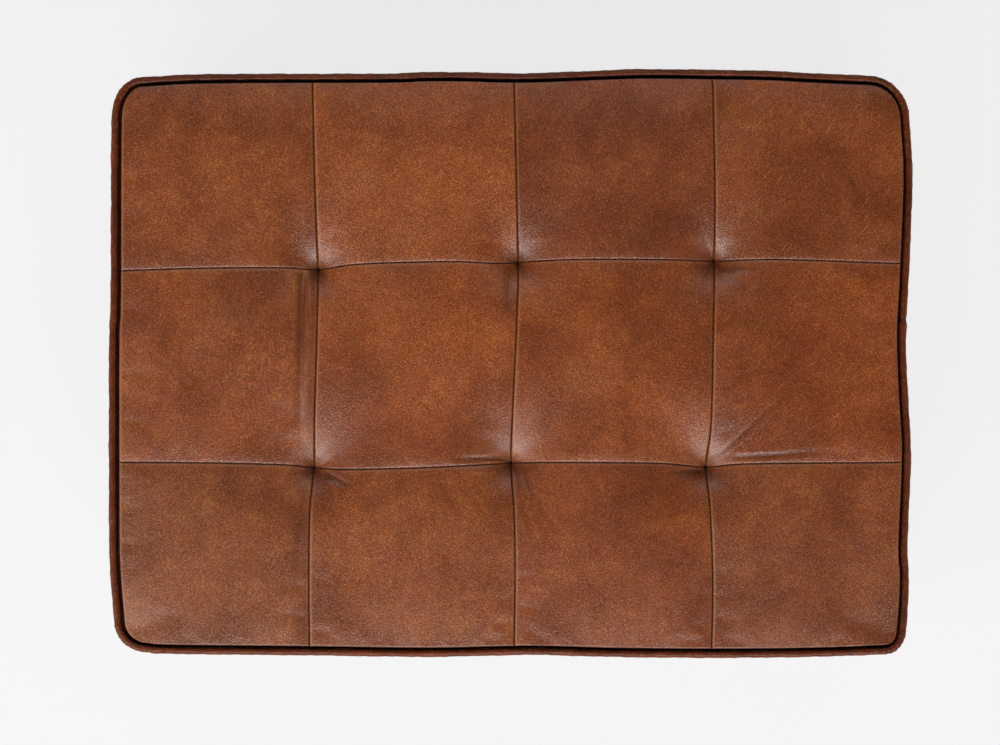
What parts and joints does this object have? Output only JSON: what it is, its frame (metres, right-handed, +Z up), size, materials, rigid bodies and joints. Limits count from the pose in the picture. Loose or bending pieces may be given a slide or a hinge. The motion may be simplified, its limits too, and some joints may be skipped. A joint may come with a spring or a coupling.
{
  "type": "leather box pouf",
  "caption": "Rectangular upholstered leather pouf with a biscuit-tufted top, a welted edge and a stapled cover over a foam-clad wooden box on low glides.",
  "frame": {"origin": "on the floor, under the middle of the pouf", "axes": "+X along the long side, -Y to the front, +Z up"},
  "size_m": [0.8, 0.583, 0.42],
  "materials": {
    "top_leather": "satin",
    "side_leather": "satin",
    "welt_leather": "satin",
    "cotton_cord": "matte",
    "wadding": "matte",
    "foam": "matte",
    "hardboard": "matte",
    "rail_wood": "matte",
    "plywood": "matte",
    "toggle_wood": "matte",
    "twine": "matte",
    "dust_cloth": "matte",
    "glide_plastic": "matte",
    "screw_steel": "satin",
    "staple_steel": "satin"
  },
  "bodies": {
    "root": {"back_bottom_rail": "rail_wood", "back_leather_panel": "side_leather", "back_left_glide": "glide_plastic", "back_left_post": "rail_wood", "back_right_glide": "glide_plastic", "back_right_post": "rail_wood", "back_side_board": "hardboard", "back_side_foam": "foam", "back_top_rail": "rail_wood", "deck_board": "plywood", "deck_screws": "screw_steel", "dust_cover": "dust_cloth", "dust_cover_staples": "staple_steel", "fibre_wadding": "wadding", "firm_foam_block": "foam", "frame_screws": "screw_steel", "front_bottom_rail": "rail_wood", "front_leather_panel": "side_leather", "front_left_glide": "glide_plastic", "front_left_post": "rail_wood", "front_right_glide": "glide_plastic", "front_right_post": "rail_wood", "front_side_board": "hardboard", "front_side_foam": "foam", "front_top_rail": "rail_wood", "glide_screws": "screw_steel", "leather_staples": "staple_steel", "left_bottom_rail": "rail_wood", "left_deck_bearer": "rail_wood", "left_leather_panel": "side_leather", "left_side_board": "hardboard", "left_side_foam": "foam", "left_top_rail": "rail_wood", "right_bottom_rail": "rail_wood", "right_deck_bearer": "rail_wood", "right_leather_panel": "side_leather", "right_side_board": "hardboard", "right_side_foam": "foam", "right_top_rail": "rail_wood", "soft_foam_squares": "foam", "top_patch_back_1": "top_leather", "top_patch_back_2": "top_leather", "top_patch_back_3": "top_leather", "top_patch_back_4": "top_leather", "top_patch_front_1": "top_leather", "top_patch_front_2": "top_leather", "top_patch_front_3": "top_leather", "top_patch_front_4": "top_leather", "top_patch_middle_1": "top_leather", "top_patch_middle_2": "top_leather", "top_patch_middle_3": "top_leather", "top_patch_middle_4": "top_leather", "top_welt_cord": "cotton_cord", "top_welt_sleeve": "welt_leather", "tuft_toggles": "toggle_wood", "tuft_twines": "twine"}
  },
  "joints": []
}
